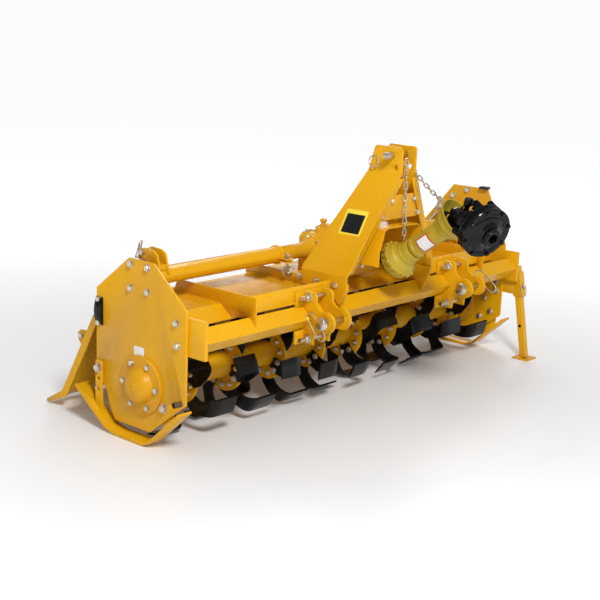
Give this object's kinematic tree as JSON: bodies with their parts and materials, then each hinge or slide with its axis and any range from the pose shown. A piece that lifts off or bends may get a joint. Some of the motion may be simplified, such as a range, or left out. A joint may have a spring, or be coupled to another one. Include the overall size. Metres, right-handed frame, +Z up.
{
  "type": "rotary tiller",
  "caption": "Yellow rotary tiller for a tractor's three-point hitch, driven by the power take-off, with a side gear case, slip clutch, hinged tailboard and parking leg.",
  "frame": {"origin": "centre of the bounding box's base, on the floor that the tiller stands on", "axes": "+Z up, -Y forward to the tractor, +X along the rotor to the side with the gear case"},
  "size_m": [1.9676, 1.3074, 0.961],
  "materials": {
    "paint": "gloss",
    "zinc": "satin",
    "black_steel": "gloss",
    "guard_plastic": "satin"
  },
  "bodies": {
    "root": {"side_plate_left": "paint", "side_plate_right": "paint", "bearing_cover_left": "paint", "bearing_housing_left": "paint", "bearing_housing_right": "paint", "gear_case": "paint", "front_beam": "paint", "beam_flange_left": "paint", "beam_flange_right": "paint", "cross_tube_left": "paint", "cross_tube_right": "paint", "axle_trumpet_left": "paint", "axle_trumpet_right": "paint", "gearbox": "paint", "hood": "paint", "deck_rib_left": "paint", "deck_rib_right": "paint", "deck_wall_left": "paint", "deck_wall_right": "paint", "gearbox_mount": "paint", "mast_leg_left": "paint", "mast_leg_right": "paint", "mast_gusset": "paint", "pto_shield": "paint", "hitch_clamp_left": "paint", "hitch_clamp_right": "paint", "skid_left": "paint", "skid_right": "paint", "stand_socket": "paint", "tailboard_hinge": "paint", "rod_bracket_left": "paint", "rod_bracket_right": "paint", "top_link_pin": "zinc", "hitch_pin_left": "zinc", "hitch_pin_right": "zinc", "input_yoke": "black_steel"},
    "rotor": {"rotor_tube": "paint", "tine_gang_1": "black_steel", "tine_gang_2": "black_steel", "tine_gang_3": "black_steel", "tine_gang_4": "black_steel", "tine_gang_5": "black_steel", "tine_gang_6": "black_steel", "tine_gang_7": "black_steel", "tine_gang_8": "black_steel"},
    "tailboard": {"tailboard": "paint"},
    "tail_rod_left": {"tailboard_rod_left": "zinc"},
    "tail_rod_right": {"tailboard_rod_right": "zinc"},
    "driveline": {"guard_inner": "guard_plastic"},
    "driveline_outer": {"guard_outer": "guard_plastic"},
    "clutch": {"slip_clutch": "black_steel"},
    "parking_leg": {"parking_leg": "paint"}
  },
  "joints": [
    {"name": "rotor_spin", "type": "hinge", "parent": "root", "child": "rotor", "pos_m": [-0.0075, 0.1207, 0.194], "axis": [1, 0, 0], "continuous": true},
    {"name": "tailboard_lift", "type": "hinge", "parent": "root", "child": "tailboard", "pos_m": [-0.0075, 0.3787, 0.391], "axis": [1, 0, 0], "range_deg": [0, 45]},
    {"name": "rod_turn_left", "type": "hinge", "parent": "root", "child": "tail_rod_left", "pos_m": [-0.8575, 0.1867, 0.622], "axis": [1, 0, 0], "range_deg": [0, 20]},
    {"name": "rod_turn_right", "type": "hinge", "parent": "root", "child": "tail_rod_right", "pos_m": [0.8425, 0.1867, 0.622], "axis": [1, 0, 0], "range_deg": [0, 20]},
    {"name": "driveline_pitch", "type": "hinge", "parent": "root", "child": "driveline", "pos_m": [-0.0075, -0.2083, 0.55], "axis": [-1, 0, 0], "range_deg": [0, 8]},
    {"name": "driveline_slide", "type": "slide", "parent": "driveline", "child": "driveline_outer", "axis": [0, -0.7968, 0.6042], "range_m": [0, 0.12]},
    {"name": "outer_joint", "type": "hinge", "parent": "driveline_outer", "child": "clutch", "pos_m": [-0.0075, -0.4843, 0.7593], "axis": [-0.9274, 0.226, 0.298], "range_deg": [0, 50]},
    {"name": "leg_slide", "type": "slide", "parent": "root", "child": "parking_leg", "axis": [0, 0.1736, 0.9848], "range_m": [0, 0.12]}
  ],
  "couplings": [
    {"joint": "rod_turn_left", "follows": "tailboard_lift", "ratio": 0.349},
    {"joint": "rod_turn_right", "follows": "tailboard_lift", "ratio": 0.349}
  ]
}
